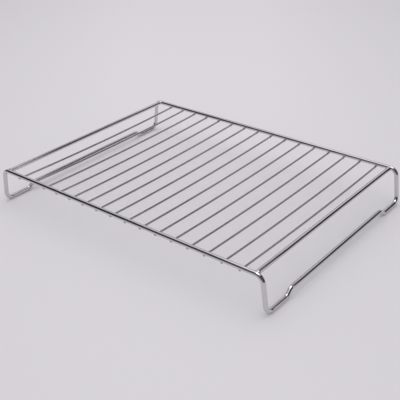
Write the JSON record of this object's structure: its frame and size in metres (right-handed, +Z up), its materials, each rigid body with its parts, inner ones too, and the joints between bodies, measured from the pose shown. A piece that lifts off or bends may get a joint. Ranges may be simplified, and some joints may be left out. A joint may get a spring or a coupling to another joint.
{
  "type": "microwave grill rack",
  "caption": "Rectangular wire grill rack with thin cross wires welded under thick rails that bend down into splayed legs joined by stepped foot bars.",
  "frame": {"origin": "on the floor under the middle of the rack, at the bottom centre of its box", "axes": "+X along the long rails towards the end with the narrower gap beside the end bar, +Y along the cross wires, +Z up"},
  "size_m": [0.3798, 0.273, 0.045],
  "materials": {
    "thick_wire": "bright chrome plate on drawn steel wire",
    "thin_wire": "bright chrome plate on drawn steel wire"
  },
  "bodies": {
    "root": {"frame_wire": "thick_wire", "end_bar_left": "thick_wire", "end_bar_right": "thick_wire", "cross_wire_01": "thin_wire", "cross_wire_02": "thin_wire", "cross_wire_03": "thin_wire", "cross_wire_04": "thin_wire", "cross_wire_05": "thin_wire", "cross_wire_06": "thin_wire", "cross_wire_07": "thin_wire", "cross_wire_08": "thin_wire", "cross_wire_09": "thin_wire", "cross_wire_10": "thin_wire", "cross_wire_11": "thin_wire", "cross_wire_12": "thin_wire", "cross_wire_13": "thin_wire", "cross_wire_14": "thin_wire", "cross_wire_15": "thin_wire", "cross_wire_16": "thin_wire"}
  },
  "joints": []
}
